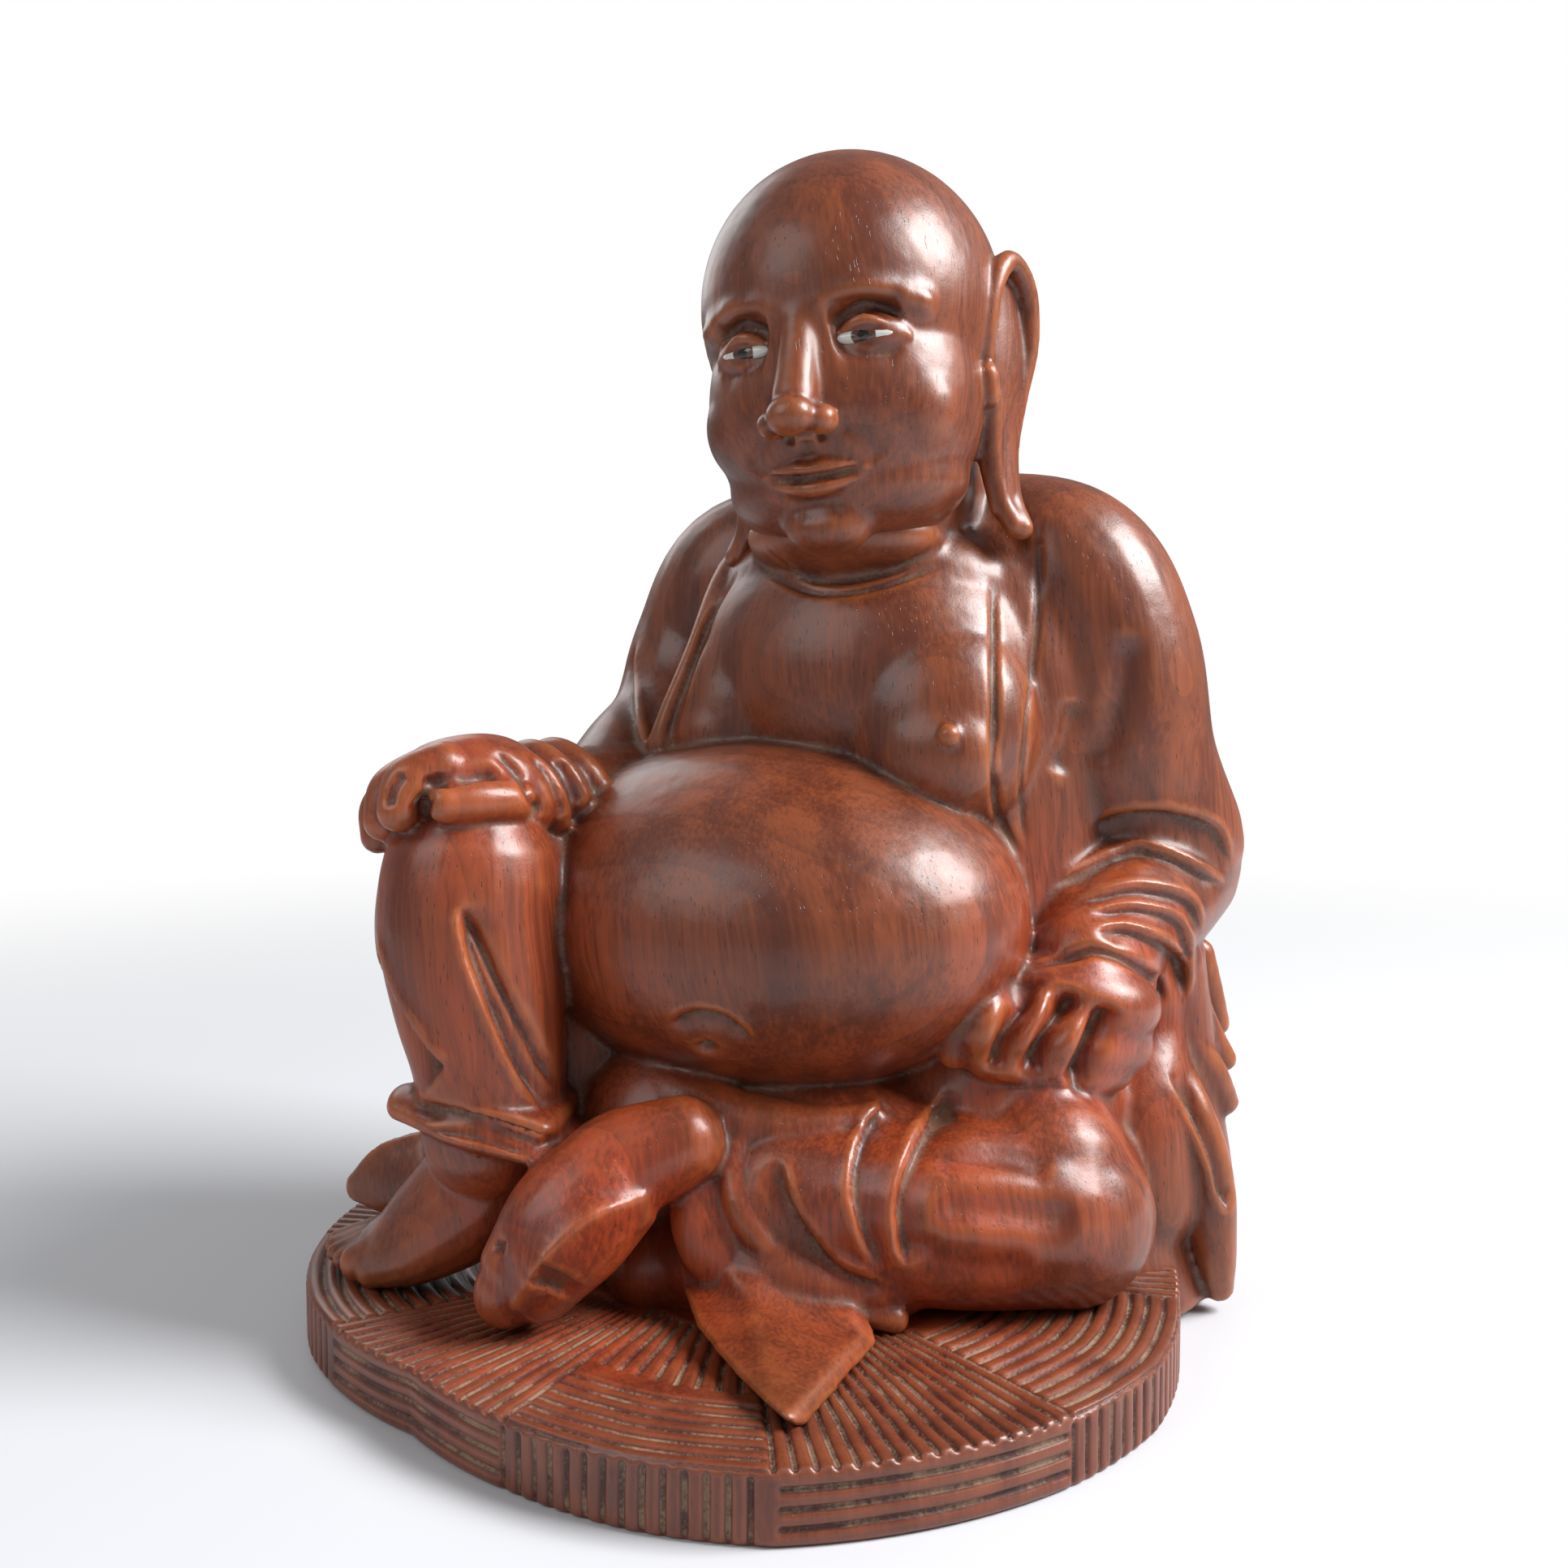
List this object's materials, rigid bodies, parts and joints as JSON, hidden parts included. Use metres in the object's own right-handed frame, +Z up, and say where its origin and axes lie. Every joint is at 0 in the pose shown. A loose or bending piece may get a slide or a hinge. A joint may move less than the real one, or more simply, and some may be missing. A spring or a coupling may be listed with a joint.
{
  "type": "laughing buddha statue",
  "caption": "Carved hardwood figure of a seated bald robed man with a round belly, one knee raised and long-lobed ears, on a round woven-look mat it rests on.",
  "frame": {"origin": "middle of the mat's flat underside", "axes": "+Z up through the figure, -Y the way its body faces, +X to the figure's left"},
  "size_m": [0.1759, 0.1691, 0.2255],
  "materials": {
    "carved_wood": "reddish-brown hardwood, hand-rubbed wax, semi-gloss, edges worn paler",
    "eye_inlay": "opaque pale glossy inlay"
  },
  "bodies": {
    "root": {"statue": "carved_wood", "eye_inlay_left": "eye_inlay", "eye_inlay_right": "eye_inlay"}
  },
  "joints": []
}
